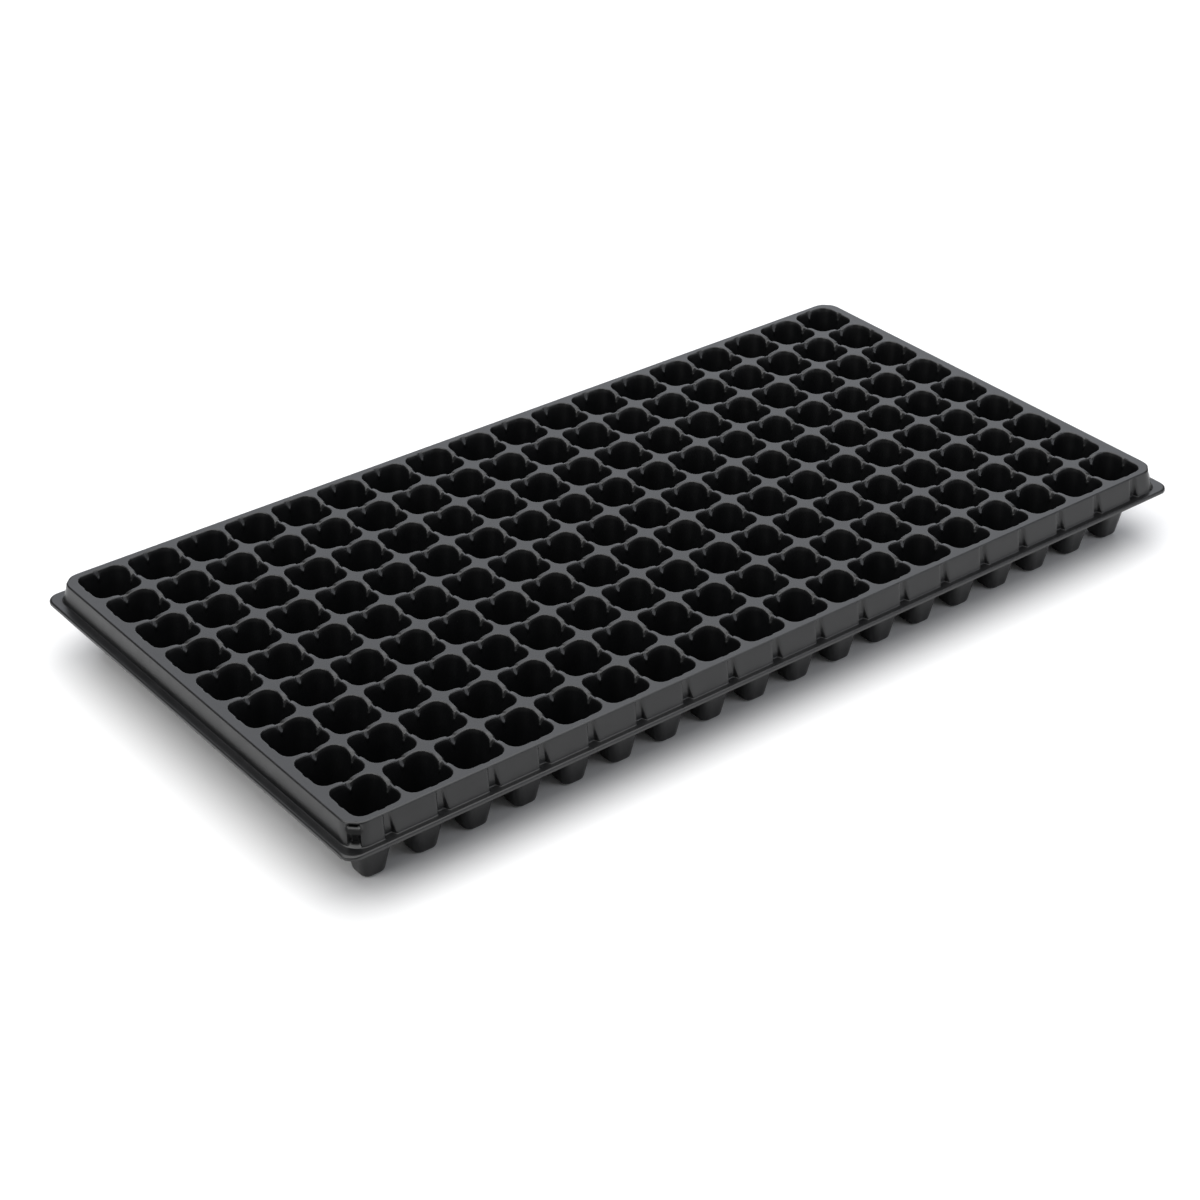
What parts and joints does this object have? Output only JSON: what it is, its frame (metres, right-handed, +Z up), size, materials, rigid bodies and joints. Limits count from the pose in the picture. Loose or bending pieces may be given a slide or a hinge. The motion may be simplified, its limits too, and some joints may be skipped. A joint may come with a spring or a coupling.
{
  "type": "plug tray",
  "caption": "Black thermoformed plug tray: a grid of small tapered square cells under a flat deck, with a fluted skirt, a flange and a turned-down lip all round.",
  "frame": {"origin": "centre of the cell grid, on the plane that the cell feet stand on", "axes": "+X along the long side, +Y along the short side, +Z up out of the cells"},
  "size_m": [0.5404, 0.278, 0.0421],
  "materials": {
    "tray_plastic": "satin black polystyrene sheet, fine moulded grain"
  },
  "bodies": {
    "root": {"cup_column_01": "tray_plastic", "cup_column_02": "tray_plastic", "cup_column_03": "tray_plastic", "cup_column_04": "tray_plastic", "cup_column_05": "tray_plastic", "cup_column_06": "tray_plastic", "cup_column_07": "tray_plastic", "cup_column_08": "tray_plastic", "cup_column_09": "tray_plastic", "cup_column_10": "tray_plastic", "cup_column_11": "tray_plastic", "cup_column_12": "tray_plastic", "cup_column_13": "tray_plastic", "cup_column_14": "tray_plastic", "cup_column_15": "tray_plastic", "cup_column_16": "tray_plastic", "cup_column_17": "tray_plastic", "cup_column_18": "tray_plastic", "deck_column_01": "tray_plastic", "deck_column_02": "tray_plastic", "deck_column_03": "tray_plastic", "deck_column_04": "tray_plastic", "deck_column_05": "tray_plastic", "deck_column_06": "tray_plastic", "deck_column_07": "tray_plastic", "deck_column_08": "tray_plastic", "deck_column_09": "tray_plastic", "deck_column_10": "tray_plastic", "deck_column_11": "tray_plastic", "deck_column_12": "tray_plastic", "deck_column_13": "tray_plastic", "deck_column_14": "tray_plastic", "deck_column_15": "tray_plastic", "deck_column_16": "tray_plastic", "deck_column_17": "tray_plastic", "deck_column_18": "tray_plastic", "rim_back": "tray_plastic", "rim_corner_back_left": "tray_plastic", "rim_corner_back_right": "tray_plastic", "rim_corner_front_left": "tray_plastic", "rim_corner_front_right": "tray_plastic", "rim_front": "tray_plastic", "rim_left": "tray_plastic", "rim_right": "tray_plastic"}
  },
  "joints": []
}
